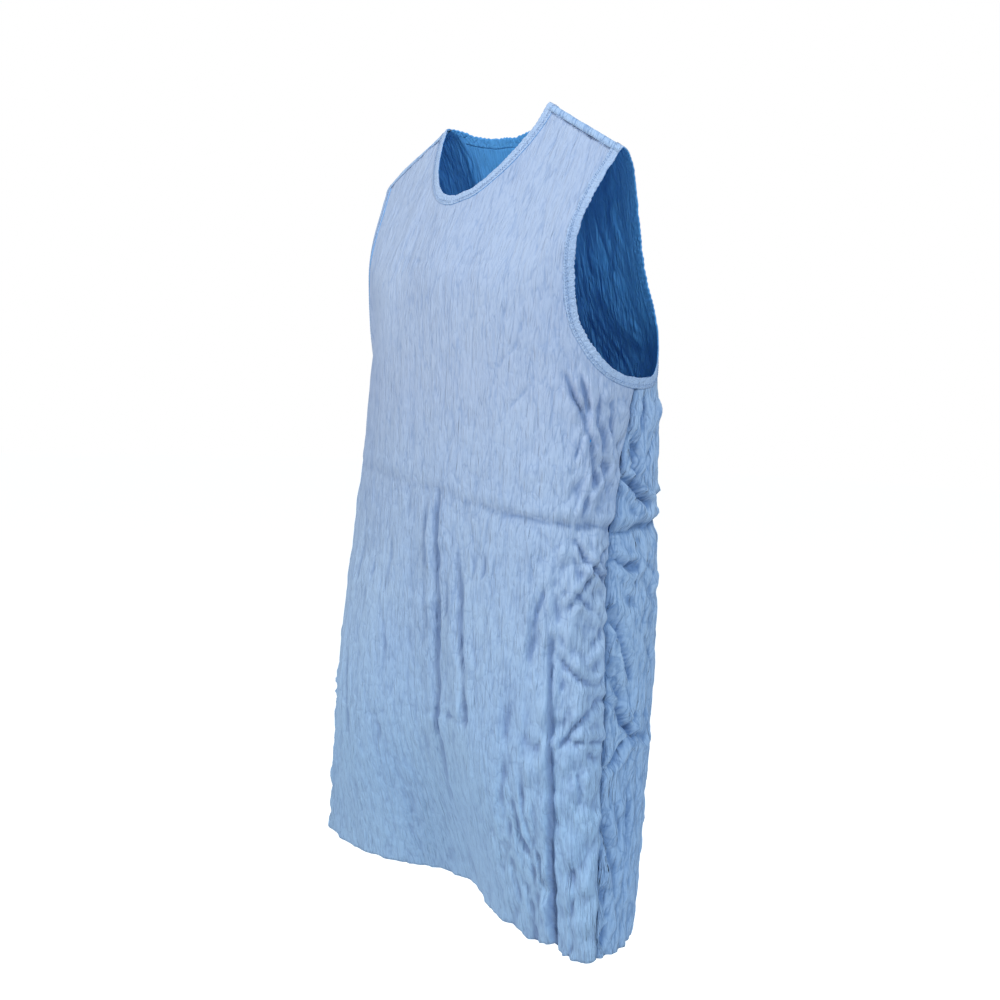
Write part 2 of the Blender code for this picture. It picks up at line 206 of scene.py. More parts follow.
# ---------------------------------------------------------------- noise and waves, all repeatable
def hashed(ix, iy, seed):
    h = (ix * 374761393 + iy * 668265263 + seed * 974634777) & 0xFFFFFFFF
    h = ((h ^ (h >> 13)) * 1274126177) & 0xFFFFFFFF
    return ((h ^ (h >> 16)) & 0xFFFF) / 32767.5 - 1.0


def noise(x, y, seed=0):
    """Smooth value noise from -1 to 1, one lattice cell per unit."""
    x, y = x + 0.37 * seed, y + 0.61 * seed
    ix, iy = np.floor(x).astype(np.int64), np.floor(y).astype(np.int64)
    fx, fy = x - ix, y - iy
    fx, fy = fx**3 * (fx * (6 * fx - 15) + 10), fy**3 * (fy * (6 * fy - 15) + 10)
    low = hashed(ix, iy, seed) * (1 - fx) + hashed(ix + 1, iy, seed) * fx
    high = hashed(ix, iy + 1, seed) * (1 - fx) + hashed(ix + 1, iy + 1, seed) * fx
    return low * (1 - fy) + high * fy


def pleat(phase):
    """Triangle wave from -1 to 1 with period 1: flat faces between sharp creases."""
    return 4 * np.abs(phase - np.floor(phase) - 0.5) - 1


def ease(value, low, high):
    t = np.clip((value - low) / (high - low), 0, 1)
    return t * t * (3 - 2 * t)


def bump_at(value, centre, width):
    return np.exp(-(((value - centre) / width) ** 2))


def crease_distance(s, v, points):
    """Signed distance from a crease line, and a weight that fades at the line's two ends."""
    pts = np.array(points, float)
    best = np.full(s.shape, 1e9)
    signed = np.zeros(s.shape)
    along_at = np.zeros(s.shape)
    lengths = np.linalg.norm(np.diff(pts, axis=0), axis=1)
    run = 0.0
    for a, b, length in zip(pts, pts[1:], lengths):
        direction = (b - a) / length
        along = (s - a[0]) * direction[0] + (v - a[1]) * direction[1]
        clamped = np.clip(along, 0, length)
        ds = s - a[0] - direction[0] * clamped
        dv = v - a[1] - direction[1] * clamped
        distance = np.hypot(ds, dv)
        side = np.sign(ds * direction[1] - dv * direction[0])
        closer = distance < best
        best = np.where(closer, distance, best)
        signed = np.where(closer, distance * side, signed)
        along_at = np.where(closer, run + clamped, along_at)
        run += length
    fade = ease(along_at, 0, 0.2 * run) * (1 - ease(along_at, 0.8 * run, run))
    return signed, fade


def valley(s, v, points, depth, width):
    """A sharp crease pressed in (depth > 0), with the cloth standing up on both sides of it."""
    distance, fade = crease_distance(s, v, points)
    away = np.abs(distance)
    shoulders = 0.5 * np.exp(-(((away - 2.3 * width) / (1.2 * width)) ** 2))
    return depth * fade * (shoulders - np.exp(-away / width))


def step(s, v, points, height, width):
    """A fold whose right-hand side stands out and whose left-hand side is pressed in."""
    distance, fade = crease_distance(s, v, points)
    soft = distance / 0.0015
    return height * fade * np.tanh(soft) * np.exp(-np.abs(distance) / width)


# ---------------------------------------------------------------- panels as grids of pattern points
def front_top(x):
    """Height of the front panel's upper cut edge."""
    curve = spline(FRONT_NECK)
    neck = np.interp(np.abs(x), curve[:, 0], curve[:, 1])
    return np.where(np.abs(x) < SEAM_NECK_X, neck, seam_z(x))


def front_side(z):
    """How far around the front panel reaches at each height."""
    curve = spline(FRONT_ARMHOLE)[::-1]
    x = np.interp(z, curve[:, 1], curve[:, 0])
    return np.where(z < -UNDERARM_DROP, 1.0, around_of(x, z, FRONT_SQUARE))


def back_top(x):
    """How far over the shoulder the back panel's upper cut edge is."""
    curve = spline(BACK_NECK[1:])[::-1]
    curve[-1, 0] = SEAM_NECK_X
    neck = np.interp(np.abs(x), curve[:, 0], curve[:, 1])
    return np.where(np.abs(x) < SEAM_NECK_X, neck, -drop_of(x, seam_z(x) - SEAM_LAP))


def back_side(drop):
    curve = spline(BACK_ARMHOLE)[::-1]
    x = np.interp(drop, curve[:, 1], curve[:, 0])
    z = ridge(x) * np.maximum(1 - 4 * drop * drop, 0.0) - LENGTH * drop * drop
    return np.where(drop > BACK_ARMHOLE[0][1], 1.0, around_of(x, z, BACK_SQUARE))


def closer_at_sides(columns):
    """Even steps from -1 to 1, drawn together towards the side seams."""
    even = np.linspace(-1, 1, columns)
    return 0.60 * even + 0.40 * np.sin(even * math.pi / 2)


def column_tops(inside, outside, gap):
    """Where each column meets the upper cut edge, by halving between a place inside and one outside."""
    for _ in range(40):
        middle = (inside + outside) / 2
        out = gap(middle) > 0
        outside = np.where(out, middle, outside)
        inside = np.where(out, inside, middle)
    return inside


def eased_tops(tops, t):
    """The upper edge as each row feels it: exact at the edge, and rounded off further down."""
    window = np.hanning(53)
    soft = np.convolve(np.pad(tops, 26, mode="edge"), window / window.sum(), mode="valid")
    return soft + (tops - soft) * (1 - ease(t, 0.0, 0.35))


def eased_reach(side, u, place):
    """How far around each column is: exact at the cut side, and without its sharp turns further in."""
    dense = np.linspace(-1.1, 1.1, 2201)
    window = np.hanning(161)
    soft = np.convolve(np.pad(side(dense), 80, mode="edge"), window / window.sum(), mode="valid")
    inner = np.interp(place, dense, soft)
    return u * (inner + (side(place) - inner) * np.abs(u) ** 5)


def front_grid(columns, rows):
    """Pattern points (around, z) whose rows and columns follow the cut edges."""
    column = closer_at_sides(columns)
    u, t = np.meshgrid(column, np.linspace(0, 1, rows))
    low, high = np.full(columns, -0.30), np.full(columns, 0.03)

    def above_edge(z):
        return z - front_top(front_point(eased_reach(front_side, column, z), z)[..., 0])

    z = eased_tops(column_tops(low, high, above_edge), t) * (1 - t) - LENGTH * t
    return eased_reach(front_side, u, z), z


def back_grid(columns, rows):
    column = closer_at_sides(columns)
    u, t = np.meshgrid(column, np.linspace(0, 1, rows))
    drops = np.linspace(-0.0895, 1, 600)
    line = back_point(np.full(600, 0.6), drops)
    run = np.concatenate([[0], np.cumsum(np.linalg.norm(np.diff(line, axis=0), axis=1))])
    even = np.interp(t * run[-1], run, drops)
    share = (even - even[0, 0]) / (1 - even[0, 0])
    low, high = np.full(columns, 0.25), np.full(columns, -0.12)

    def above_edge(drop):
        return back_top(back_point(eased_reach(back_side, column, drop), drop)[..., 0]) - drop

    top = eased_tops(column_tops(low, high, above_edge), t)
    drop = top + share * (1 - top)
    return eased_reach(back_side, u, drop), drop


def grid_normals(points, outward):
    across_grid = np.gradient(points, axis=1)
    down_grid = np.gradient(points, axis=0)
    normal = np.cross(down_grid, across_grid) * outward
    return normal / (np.linalg.norm(normal, axis=-1, keepdims=True) + 1e-12)


def arc_from_centre(points):
    steps = np.linalg.norm(np.diff(points, axis=1), axis=2)
    run = np.concatenate([np.zeros((points.shape[0], 1)), np.cumsum(steps, axis=1)], axis=1)
    middle = points.shape[1] // 2
    return run - run[:, middle : middle + 1]


def distance_to(points, line):
    """Distance from every grid point to the nearest point of a dense line."""
    flat = points.reshape(-1, 3)
    best = np.full(len(flat), 1e9)
    for spot in line:
        best = np.minimum(best, ((flat - spot) ** 2).sum(axis=1))
    return np.sqrt(best).reshape(points.shape[:-1])


# ---------------------------------------------------------------- bound edges
def slopes_at(surface, a, b):
    h = 1e-4
    along_a = (surface(a + h, b) - surface(a - h, b)) / (2 * h)
    along_b = (surface(a, b + h) - surface(a, b - h)) / (2 * h)
    return along_a, along_b


def edge_line(surface, place, points, spacing):
    """Places and outward normals at even spacing along a cut edge."""
    curve = spline(points)
    a, b = place(curve[:, 0], curve[:, 1])
    run = np.concatenate([[0], np.cumsum(np.linalg.norm(np.diff(surface(a, b), axis=0), axis=1))])
    wanted = np.linspace(0, run[-1], max(2, round(run[-1] / spacing)) + 1)
    a, b = np.interp(wanted, run, a), np.interp(wanted, run, b)
    along_a, along_b = slopes_at(surface, a, b)
    normal = np.cross(along_a, along_b)
    normal /= np.linalg.norm(normal, axis=1, keepdims=True) + 1e-12
    spot = surface(a, b)
    away = spot - np.stack([0 * a, 0 * a + 0.02, spot[:, 2] - 0.05], axis=1)
    normal *= np.sign((normal * away).sum(axis=1))[:, None]
    return spot, normal


def on_front(x, z):
    return around_of(x, z, FRONT_SQUARE), z


def on_back(x, drop):
    z = ridge(x) * np.maximum(1 - 4 * drop * drop, 0.0) - LENGTH * drop * drop
    return around_of(x, z, BACK_SQUARE), drop


def flipped(line):
    return line * np.array((-1.0, 1.0, 1.0))


def smoothed(values, times, closed):
    for _ in range(times):
        if closed:
            values = 0.25 * np.roll(values, 1, 0) + 0.5 * values + 0.25 * np.roll(values, -1, 0)
        else:
            values[1:-1] = 0.25 * values[:-2] + 0.5 * values[1:-1] + 0.25 * values[2:]
    return values


def resampled(spots, normals, spacing, closed):
    if closed:
        spots, normals = np.vstack([spots, spots[:1]]), np.vstack([normals, normals[:1]])
    run = np.concatenate([[0], np.cumsum(np.linalg.norm(np.diff(spots, axis=0), axis=1))])
    count = round(run[-1] / spacing)
    wanted = np.linspace(0, run[-1], count + 1)
    if closed:
        wanted = wanted[:-1]
    pick = lambda values: np.stack([np.interp(wanted, run, values[:, k]) for k in range(3)], axis=1)
    return pick(spots), pick(normals), wanted


def neck_loop():
    front, front_n = edge_line(front_point, on_front, FRONT_NECK, EDGE_SPACING)
    back, back_n = edge_line(back_point, on_back, BACK_NECK, EDGE_SPACING)
    spots = np.vstack([front[:-1], back[:-1], flipped(back)[::-1][:-1], flipped(front)[::-1][:-1]])
    normals = np.vstack([front_n[:-1], back_n[:-1], flipped(back_n)[::-1][:-1], flipped(front_n)[::-1][:-1]])
    return resampled(spots, smoothed(normals, 12, True), EDGE_SPACING, True)


def armhole_ring(side):
    front, front_n = edge_line(front_point, on_front, FRONT_ARMHOLE, EDGE_SPACING)
    back, back_n = edge_line(back_point, on_back, BACK_ARMHOLE, EDGE_SPACING)
    spots, normals = np.vstack([front[:-1], back[:-1]]), np.vstack([front_n[:-1], back_n[:-1]])
    if side == "right":
        spots, normals = flipped(spots), flipped(normals)
    start = len(front) - 1
    spots, normals = np.roll(spots, -start, 0), np.roll(normals, -start, 0)
    return resampled(spots, smoothed(normals, 12, True), EDGE_SPACING, True)


def into_cloth(spots, normals, towards):
    """Unit vectors along the cloth, square to the edge, pointing into the panel."""
    ahead = np.roll(spots, -2, 0) - np.roll(spots, 2, 0)
    inward = np.cross(normals, ahead)
    inward /= np.linalg.norm(inward, axis=1, keepdims=True)
    signs = np.ones(len(inward))
    signs[0] = np.sign(inward[0] @ np.array(towards, float))
    for k in range(1, len(inward)):
        signs[k] = signs[k - 1] * (1 if inward[k] @ inward[k - 1] > 0 else -1)
    return smoothed(inward * signs[:, None], 4, True)


# ---------------------------------------------------------------- materials
class Look:
    """A material being wired up around its Principled shader."""

    def __init__(self, name):
        self.made = bpy.data.materials.new(name)
        self.made.use_nodes = True
        self.nodes, self.links = self.made.node_tree.nodes, self.made.node_tree.links
        self.sockets = self.nodes["Principled BSDF"].inputs

    def put(self, socket, value):
        """Sets a socket to a plain value, or links an output to it."""
        if isinstance(value, bpy.types.NodeSocket):
            self.links.new(value, socket)
        else:
            socket.default_value = value

    def add(self, kind, **inputs):
        node = self.nodes.new("ShaderNode" + kind)
        for name, value in inputs.items():
            self.put(node.inputs[name.replace("_", " ")], value)
        return node

    def stored(self, name, output):
        """A value kept on each point of the mesh."""
        node = self.add("Attribute")
        node.attribute_name = name
        return node.outputs[output]

    def combined(self, operation, *values):
        node = self.add("Math")
        node.operation = operation
        for socket, value in zip(node.inputs, values):
            self.put(socket, value)
        return node.outputs[0]

    def noise(self, vector, scale, stretch, detail, roughness=0.6, distortion=0.0):
        mapping = self.add("Mapping", Scale=stretch, Vector=vector)
        texture = self.add("TexNoise", Scale=scale, Detail=detail, Roughness=roughness, Distortion=distortion)
        self.put(texture.inputs["Vector"], mapping.outputs["Vector"])
        return texture.outputs["Fac"]

    def lines(self, value):
        """Turns a smooth noise into lines: 0 along each line, rising on both sides of it."""
        return self.combined("ABSOLUTE", self.combined("SUBTRACT", value, 0.5))

    def ranged(self, value, low, high, out_low, out_high):
        node = self.add("MapRange", Value=value, From_Min=low, From_Max=high, To_Min=out_low, To_Max=out_high)
        return node.outputs["Result"]

    def mixed(self, factor, first, second, blend="MIX"):
        node = self.add("Mix")
        node.data_type = "RGBA"
        node.blend_type = blend
        self.put(node.inputs["Factor"], factor)
        for socket, colour in ((node.inputs[6], first), (node.inputs[7], second)):
            self.put(socket, (*colour, 1) if isinstance(colour, tuple) else colour)
        return node.outputs[2]

    def creased_paper(self, vector, scale, stretch):
        """Small flat faces meeting in sharp folds: 0 at each fold, rising into the face."""
        pushed = self.add("VectorMath")
        pushed.operation = "MULTIPLY_ADD"
        warp = self.add("TexNoise", Scale=60.0, Vector=vector).outputs["Color"]
        for socket, value in zip(pushed.inputs, (warp, (0.016, 0.016, 0.016), vector)):
            self.put(socket, value)
        mapping = self.add("Mapping", Scale=stretch, Vector=pushed.outputs[0])
        cells = self.add("TexVoronoi")
        cells.feature = "DISTANCE_TO_EDGE"
        self.put(cells.inputs["Scale"], scale)
        self.put(cells.inputs["Vector"], mapping.outputs["Vector"])
        return cells.outputs["Distance"]

    def bump(self, height, strength, distance):
        """Adds relief on top of what is already in the shader's normal."""
        node = self.add("Bump", Height=height, Strength=strength, Distance=distance)
        under = self.sockets["Normal"]
        if under.is_linked:
            self.put(node.inputs["Normal"], under.links[0].from_socket)
        self.put(under, node.outputs["Normal"])


UPRIGHT = (1.0, 1.0, 0.18)


def crepe(name, light, dark, painted_shade_colour, sheen, puckers=UPRIGHT, gloss=0.30, creased=0.55, painted_hem_tint=(1, 1, 1)):
    """Crinkled nonwoven: fine upright crinkle, pressed fibres and cloudy variation in the dye, with painted
    shade along crinkles, creases and fold bottoms and a painted tint towards the hem.
    """
    look = Look(name)
    place = look.stored("cloth_place", "Vector")
    height = look.add("SeparateXYZ", Vector=place).outputs["Z"]
    crinkle = look.lines(look.noise(place, 230.0, puckers, 1.5, 0.45, 0.15))
    long_lines = look.lines(look.noise(place, 95.0, (1.0, 1.0, 0.13), 2.0, 0.5, 0.15))
    folds = look.creased_paper(place, 62.0, (1.0, 1.0, 0.42))
    fibres = look.noise(place, 1500.0, (1.0, 1.0, 0.45), 2.0, 0.7)
    # dye: cloudy; towards the hem a painted tint stands in for the bluer light that falls there
    cloud = look.ranged(look.noise(place, 9.0, (1, 1, 0.6), 3.0), 0.3, 0.7, 0, 1)
    lower = look.ranged(height, -0.35, -0.85, 0.0, 1.0)
    colour = look.mixed(lower, look.mixed(cloud, dark, light), painted_hem_tint, "MULTIPLY")
    # painted shade as dark lines: long crinkles, short crinkles, creased patches, fold bottoms
    colour = look.mixed(look.ranged(long_lines, 0.0, 0.032, 0.80 * creased, 0), colour, painted_shade_colour)
    colour = look.mixed(look.ranged(crinkle, 0.0, 0.050, 0.30, 0), colour, painted_shade_colour)
    rough = look.ranged(height, -0.20, -0.50, 0.14 * creased, creased)
    patch = look.ranged(look.noise(place, 14.0, (1, 1, 0.5), 2.0), 0.42, 0.58, 0.15, 1.0)
    along_folds = look.ranged(folds, 0.0, 0.07, 0.6, 0)
    patched = look.combined("MULTIPLY", along_folds, look.combined("MULTIPLY", patch, rough))
    colour = look.mixed(patched, colour, painted_shade_colour)
    # painted shade in the fold bottoms and along seams and the pleat, from the share stored on the mesh
    painted_shade = look.ranged(look.stored("painted_shade", "Fac"), 0.15, 0.95, 0.0, 0.85)
    colour = look.mixed(painted_shade, colour, painted_shade_colour)
    colour = look.mixed(look.ranged(fibres, 0.35, 0.7, 0.0, 0.22), colour, light)
    look.put(look.sockets["Base Color"], colour)
    look.put(look.sockets["Roughness"], look.ranged(fibres, 0.3, 0.7, 0.72, 0.92))
    look.put(look.sockets["Specular IOR Level"], gloss)
    look.put(look.sockets["Sheen Weight"], sheen)
    look.put(look.sockets["Sheen Roughness"], 0.45)
    look.put(look.sockets["Sheen Tint"], (0.75, 0.86, 1.0, 1.0))
    look.bump(folds, rough, 0.0055)
    look.bump(look.ranged(long_lines, 0.0, 0.12, 0.0, 0.12), look.ranged(rough, 0.0, 1.0, 0.25, 1.0), 0.0100)
    look.bump(crinkle, 0.9, 0.0040)
    look.bump(fibres, 0.35, 0.0002)
    return look.made


def twisted_thread(name, light, dark):
    look = Look(name)
    place = look.add("TexCoord").outputs["Object"]
    twist = look.add("TexWave", Scale=900.0, Distortion=1.5, Vector=place).outputs["Fac"]
    look.put(look.sockets["Base Color"], look.mixed(look.ranged(twist, 0, 1, 0, 1), dark, light))
    look.put(look.sockets["Roughness"], look.ranged(twist, 0, 1, 0.5, 0.7))
    look.put(look.sockets["Sheen Weight"], 0.3)
    look.bump(twist, 0.6, 0.0001)
    return look.made


CREPE_FRONT = crepe(
    "crepe_front_look",
    (0.388, 0.466, 0.622),
    (0.346, 0.424, 0.598),
    (0.15, 0.235, 0.43),
    0.05,
    painted_hem_tint=(0.83, 1.06, 1.14),
)
CREPE_BACK = crepe(
    "crepe_back_look",
    (0.375, 0.505, 0.700),
    (0.325, 0.455, 0.670),
    (0.09, 0.19, 0.40),
    0.05,
    creased=0.8,
    painted_hem_tint=(0.88, 0.98, 1.04),
)
# Inside face of the same cloth: its deeper, more saturated blue is painted light and shade, for light shining
# through the cloth and bouncing inside the garment
CREPE_INSIDE_PAINTED_LIGHT = crepe(
    "crepe_inside_painted_light_look", (0.110, 0.365, 0.740), (0.085, 0.325, 0.690), (0.04, 0.22, 0.53), 0.0, gloss=0.08
)
BINDING_LOOK = crepe(
    "binding_look", (0.395, 0.500, 0.685), (0.335, 0.445, 0.645), (0.20, 0.31, 0.52), 0.05, (1, 1, 1)
)
THREAD_LOOK = twisted_thread("thread_look", (0.20, 0.33, 0.58), (0.09, 0.17, 0.36))


# ---------------------------------------------------------------- relief of the cloth
def ridged(s, v, wide, tall, seed):
    """Sharp wandering ridges from -1 to 1, about one per cell."""
    return 1 - 2.4 * np.abs(noise(s / wide, v / tall, seed))


def crinkle(s, v, seed, lean):
    """Upright crepe lines that wander, branch and die out, as heights in metres."""
    s = s + lean + 0.0045 * noise(s / 0.020, v / 0.030, seed) + 0.009 * noise(s / 0.09, v / 0.16, seed + 1)
    narrow = ridged(s, v, 0.0066, 0.019, seed + 2)
    middle = ridged(s, v, 0.0120, 0.034, seed + 3)
    broad = ridged(s, v, 0.0230, 0.080, seed + 4)
    here = 0.35 + 0.65 * ease(noise(s / 0.045, v / 0.070, seed + 5), -0.5, 0.5)
    there = 0.25 + 0.75 * ease(noise(s / 0.060, v / 0.110, seed + 6), -0.5, 0.5)
    return 0.00048 * narrow * here + 0.00080 * middle * there + 0.00095 * broad


def crumple(s, v, size, seed):
    """Flat-faced crumpling with sharp creases, from -1 to 1."""
    total = np.zeros(s.shape)
    wobble = noise(s / (3 * size), v / (3 * size), seed)
    for k, angle in enumerate((0.35, 1.25, 2.1, 2.75)):
        along = s * math.cos(angle) + 0.6 * v * math.sin(angle)
        bent = 0.55 * wobble + 0.30 * noise(s / size, v / size, seed + k + 1)
        here = 0.30 + 0.70 * ease(noise(s / (2 * size), v / (2 * size), seed + k + 5), -0.4, 0.4)
        total += here * pleat(along / size + bent + 0.37 * k)
    return total / 2


def soft_waves(s, v, seed):
    return 0.0030 * noise(s / 0.085, v / 0.28, seed) + 0.0016 * noise(s / 0.042, v / 0.15, seed + 1)


def in_metres(*creases):
    """Creases given in millimetres as a line of (around, height) points, a depth and a width."""
    scaled = []
    for line, depth, width in creases:
        scaled.append(([(a / 1000, b / 1000) for a, b in line], depth / 1000, width / 1000))
    return scaled


# Crease lines. Around is the distance from the centre line along the cloth; these three are in metres.
PACKING_CREASE = (
    (-0.55, -0.440), (-0.172, -0.450), (-0.003, -0.470),
    (0.101, -0.485), (0.182, -0.503), (0.55, -0.512),
)
BACK_PACKING_CREASE = (
    (-0.65, -0.500), (-0.150, -0.512), (0.050, -0.506),
    (0.200, -0.497), (0.36, -0.510), (0.65, -0.51),
)
PLEAT_LINE = (
    (0.193, -0.560), (0.209, -0.639), (0.215, -0.708),
    (0.222, -0.821), (0.219, -0.944), (0.221, -1.06),
)
FRONT_VALLEYS = in_metres(
    (((27, -440), (30, -530), (32, -640), (30, -760), (28, -900)), 6, 6.5),
    (((46, -500), (50, -620), (47, -745)), 2.8, 5),
    (((66, -520), (74, -600), (85, -680), (94, -790)), 4.5, 6),
    (((10, -470), (6, -560), (12, -680)), 2, 4.5),
    (((118, -490), (112, -560), (110, -630)), 2.8, 4.5),
    (((196, -575), (191, -620), (183, -670)), 4, 5),
    (((160, -700), (163, -800), (158, -900)), 2, 6),
    (((170, -820), (190, -890), (206, -990)), 2.6, 3.6),
    (((186, -800), (198, -870), (214, -950)), 2.4, 3.4),
    (((150, -860), (166, -920), (176, -1000)), 2, 3.6),
    (((245, -880), (250, -940), (247, -1020)), 2.6, 4),
    (((130, -300), (146, -260), (168, -200)), 1, 3),
    (((120, -340), (150, -300), (180, -255)), 1.1, 3),
    (((140, -380), (166, -345), (196, -320)), 1.2, 3),
    (((-118, -790), (-60, -770), (20, -755), (125, -752)), 1.4, 4),
    (((-170, -172), (-90, -186), (0, -195), (120, -200), (198, -206)), 0.6, 4),
    (((-120, -132), (-40, -140), (20, -137)), 0.5, 4),
    (((-62, -500), (-70, -640), (-66, -800)), 1.6, 5.5),
    (((-150, -520), (-158, -700), (-150, -860)), 1.6, 6),
)
SIDE_VALLEYS = in_metres(
    (((214, -330), (228, -372), (247, -418), (262, -470)), 5.2, 4.2),
    (((256, -340), (252, -385), (262, -430), (276, -475)), 5.6, 4.2),
    (((236, -330), (237, -385), (227, -445)), 3.6, 3.6),
    (((276, -350), (270, -395), (280, -440)), 4, 3.4),
    (((262, -440), (246, -480), (238, -505)), 4.2, 5),
    (((225, -520), (246, -545), (268, -566), (285, -580)), 5.5, 5),
    (((286, -530), (262, -552), (240, -585), (222, -612)), 5, 5),
    (((230, -575), (252, -602), (280, -625)), 4.8, 4.5),
    (((300, -600), (270, -640), (246, -660)), 4.8, 5),
    (((216, -652), (242, -680), (266, -690), (292, -680)), 5.2, 5),
    (((224, -770), (246, -728), (272, -705), (300, -712)), 5.2, 4.5),
    (((230, -752), (258, -748), (290, -762)), 4.2, 4.5),
    (((240, -800), (262, -785), (286, -800)), 3.5, 5),
    (((250, -850), (268, -842), (280, -862)), 3.8, 5),
)
# Creases that fan out from the side seam over the back panel: here around is the distance from the seam
SEAM_FOLDS = in_metres(
    (((2, -385), (18, -430), (34, -485)), 6, 4),
    (((1, -445), (30, -470), (62, -490)), 6.5, 4.5),
    (((14, -345), (18, -400), (10, -460)), 4.5, 3.5),
    (((36, -345), (42, -400), (38, -455)), 4, 3.5),
    (((1, -545), (24, -560), (52, -556)), 4.5, 4),
    (((2, -590), (20, -640), (46, -700)), 6, 4),
    (((2, -645), (18, -700), (30, -745)), 5.5, 3.5),
    (((0, -700), (26, -738), (62, -764)), 5.5, 4),
    (((60, -728), (30, -765), (0, -796)), 4.5, 4),
    (((0, -830), (15, -880), (28, -945)), 5, 3.5),
    (((2, -890), (10, -945), (13, -1000)), 4, 3.5),
    (((40, -800), (44, -880), (40, -960)), 3, 4),
)
BACK_VALLEYS = in_metres(
    (((225, -345), (240, -400), (236, -450)), 4, 6),
    (((285, -350), (275, -400), (284, -450)), 4.5, 5.5),
    (((200, -480), (240, -487), (285, -478)), 6, 8),
    (((240, -540), (270, -565), (290, -600)), 4, 5.5),
    (((300, -640), (270, -670), (250, -700)), 3.8, 5.5),
    (((250, -740), (280, -765), (310, -750)), 4, 5.5),
    (((30, -250), (34, -420), (28, -600), (30, -800)), 2.4, 7),
    (((-110, -300), (-116, -480), (-108, -700)), 2.2, 7),
    (((120, -520), (126, -700), (118, -860)), 2.2, 7),
)


def mirror_side(s, v):
    """The far side is creased like the near one, but at its own heights."""
    return -s, v + 0.017 + 0.012 * np.sin(v * 23.0)


def side_relief(s, v, to_seam, seed):
    """Puckers that the side seam gathers into the cloth: slanting, sharp, and stronger in some places."""
    near = np.exp(-to_seam / 0.040)
    rise = pleat((v + 1.15 * to_seam) / 0.052 + 0.35 * noise(v / 0.06, to_seam / 0.03, seed))
    fall = pleat((v - 1.30 * to_seam) / 0.067 + 0.40 * noise(v / 0.07, to_seam / 0.04, seed + 1))
    strength = 0.45 + 0.55 * ease(noise(v / 0.11, 0 * v, seed + 2), -0.5, 0.5)
    fade = ease(to_seam, 0.0, 0.010)
    return near * fade * strength * (0.0034 * rise + 0.0030 * fall + 0.0026 * crumple(s, v, 0.036, seed + 3))


def seam_wobble(v):
    """How far the side seam stands in or out, the same for both panels."""
    tight = pleat(v / 0.031 + 0.5 * noise(v / 0.08, 0 * v, 61)) * 0.0007
    return tight + 0.0016 * noise(v / 0.055, 0 * v, 62) + 0.0022 * noise(v / 0.16, 0 * v, 63)


def seam_valley(v, to_seam, near_side):
    """The seam pulls the cloth in to a narrow valley, which gapes at the near hip."""
    gape = np.where(near_side, bump_at(v, -0.600, 0.045) + 0.5 * bump_at(v, -0.42, 0.03), 0.3)
    return -(0.0095 + 0.0050 * gape) * np.exp(-to_seam / (0.0042 + 0.002 * gape))


def hem_hang(s, to_seam, seed):
    """How far the raw hem hangs below its even line."""
    scallop = 0.0008 * noise(s / 0.007, 0 * s, seed) + 0.0016 * noise(s / 0.021, 0 * s, seed + 1)
    wave = 0.0035 * noise(s / 0.09, 0 * s, seed + 2)
    corner = -0.005 * (1 - ease(to_seam, 0.0, 0.045)) * (s < 0)
    return (scallop + wave) * ease(to_seam, 0.0, 0.015) + corner


def pleat_hang(s):
    """The pleat near the left side seam hangs lower than the hem beside it."""
    low = 0.0030 * ease(s, 0.2195, 0.2225) * (1 - ease(s, 0.272, 0.285)) - 0.004 * ease(s, 0.272, 0.285)
    return low + 0.0060 * bump_at(s, 0.185, 0.020) - 0.004 * bump_at(s, 0.125, 0.030)


def bent(s, v, seed):
    """Coordinates that wander a little, so that a crease laid in them is never quite straight."""
    sideways = 0.0034 * noise(s / 0.017, v / 0.026, seed) + 0.0036 * noise(s / 0.05, v / 0.07, seed + 1)
    upwards = 0.0030 * noise(s / 0.026, v / 0.017, seed + 2) + 0.0030 * noise(s / 0.07, v / 0.05, seed + 3)
    return s + sideways, v + upwards


def uneven(s, v, seed):
    """Creases are deep in some places and almost gone in others."""
    return 0.35 + 0.85 * ease(noise(s / 0.030, v / 0.034, seed), -0.6, 0.5)


